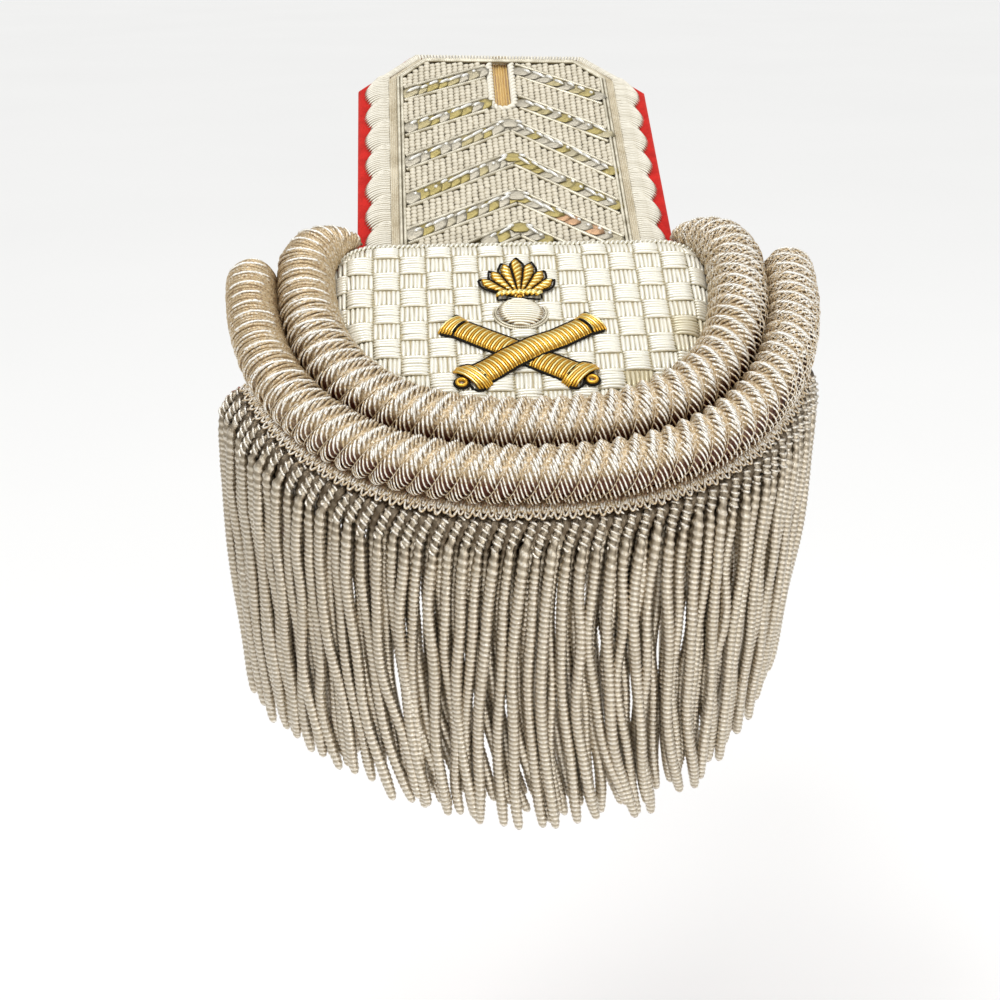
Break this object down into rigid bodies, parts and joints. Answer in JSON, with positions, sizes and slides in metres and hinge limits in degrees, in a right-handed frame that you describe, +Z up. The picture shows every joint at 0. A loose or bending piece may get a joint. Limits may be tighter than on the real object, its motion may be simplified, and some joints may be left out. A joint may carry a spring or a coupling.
{
  "type": "fringed epaulette",
  "caption": "Fringed dress epaulette: red cloth strap faced with silver lace, padded crescent with a gunner's badge, two bullion rolls and a hanging fringe.",
  "frame": {"origin": "underside of the cloth, on the centre line, in line with the pad's top edge: it rests there on the shoulder", "axes": "+X across the board to its right, +Y horizontally from the fringe towards the neck end, +Z up; the strap climbs 28 degrees towards +Y"},
  "size_m": [0.1194, 0.1334, 0.1314],
  "materials": {
    "red_cloth": "milled wool felt",
    "satin_thread": "satin-stitched ivory thread",
    "tan_braid": "flat woven tan braid",
    "silver_purl": "tarnished silver purl wire",
    "woven_lace": "open ivory lace weave",
    "white_cord": "twisted cotton cord",
    "gold_cloth": "folded gold-brown cloth",
    "basket_bullion": "smooth silver passing wire, laid in blocks",
    "gilt_wire": "gilt bullion wire",
    "roll_wire": "champagne bullion wire wound over a core",
    "fringe_bullion": "coiled bullion wire, tarnished in the valleys",
    "brass_plate": "plain rolled brass"
  },
  "bodies": {
    "root": {"cloth_backing": "red_cloth", "scalloped_edge": "satin_thread", "flat_border": "tan_braid", "purl_border": "silver_purl", "woven_panel": "woven_lace", "chevron_1": "silver_purl", "chevron_2": "silver_purl", "chevron_3": "silver_purl", "chevron_4": "silver_purl", "chevron_5": "silver_purl", "chevron_6": "silver_purl", "slot_cord": "white_cord", "slot_lining": "gold_cloth", "crescent_pad": "basket_bullion", "pad_purl": "silver_purl", "grenade_flames": "gilt_wire", "grenade_ball": "basket_bullion", "cannon_over": "gilt_wire", "cannon_under": "gilt_wire", "inner_roll": "roll_wire", "outer_roll": "roll_wire", "picot_edge": "roll_wire", "bullion_fringe": "fringe_bullion", "fixing_tongue": "brass_plate"}
  },
  "joints": []
}
